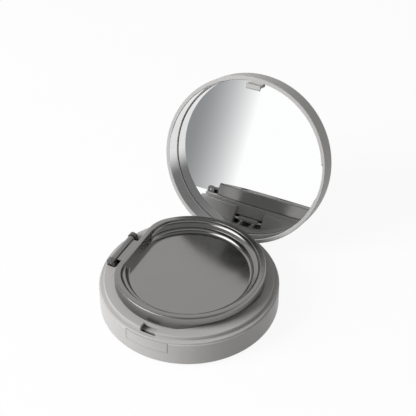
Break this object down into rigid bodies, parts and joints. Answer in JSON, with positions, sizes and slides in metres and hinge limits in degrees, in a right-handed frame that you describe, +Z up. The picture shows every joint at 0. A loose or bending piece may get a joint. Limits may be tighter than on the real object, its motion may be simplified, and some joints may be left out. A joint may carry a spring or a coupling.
{
  "type": "cushion compact",
  "caption": "Round cosmetic cushion compact, open: push-button base, hinged dish-shaped inner lid over a sponge refill, and a deep hinged lid with a mirror.",
  "frame": {"origin": "centre of the flat foot under the base", "axes": "+Z up out of the foot, -Y towards the push button, +Y towards the mirror lid's hinge, -X towards the inner lid's hinge"},
  "size_m": [0.076, 0.112, 0.0749],
  "materials": {
    "case_plastic": "satin silver-grey",
    "ring_plastic": "satin silver-grey",
    "dish_plastic": "gloss dark grey",
    "mirror_glass": "silvered glass",
    "tape_foam": "foam tape",
    "pin_steel": "plain",
    "cup_plastic": "plain",
    "sponge_foam": "open-cell foam",
    "gasket_rubber": "soft"
  },
  "bodies": {
    "base": {"base_shell": "case_plastic", "deck_ring": "ring_plastic", "refill_cup": "cup_plastic", "sponge_cushion": "sponge_foam", "hinge_bracket": "dish_plastic", "inner_lid": "dish_plastic", "inner_lid_gasket": "gasket_rubber", "inner_lid_pin": "pin_steel", "lid_hinge_pin": "pin_steel", "button_spring": "pin_steel"},
    "lid": {"lid_shell": "case_plastic", "mirror_glass": "mirror_glass", "mirror_tape": "tape_foam"},
    "button": {"push_button": "case_plastic"}
  },
  "joints": [
    {"name": "lid_hinge", "type": "hinge", "parent": "base", "child": "lid", "pos_m": [0, 0.0352, 0.0077], "axis": [-1, 0, 0], "range_deg": [-109.4, 0]},
    {"name": "button_slide", "type": "slide", "parent": "base", "child": "button", "axis": [0, 1, 0], "range_m": [0, 0.001], "stiffness_N_per_m": 300, "springref_m": -0.002, "deforming": ["button_spring"]}
  ]
}
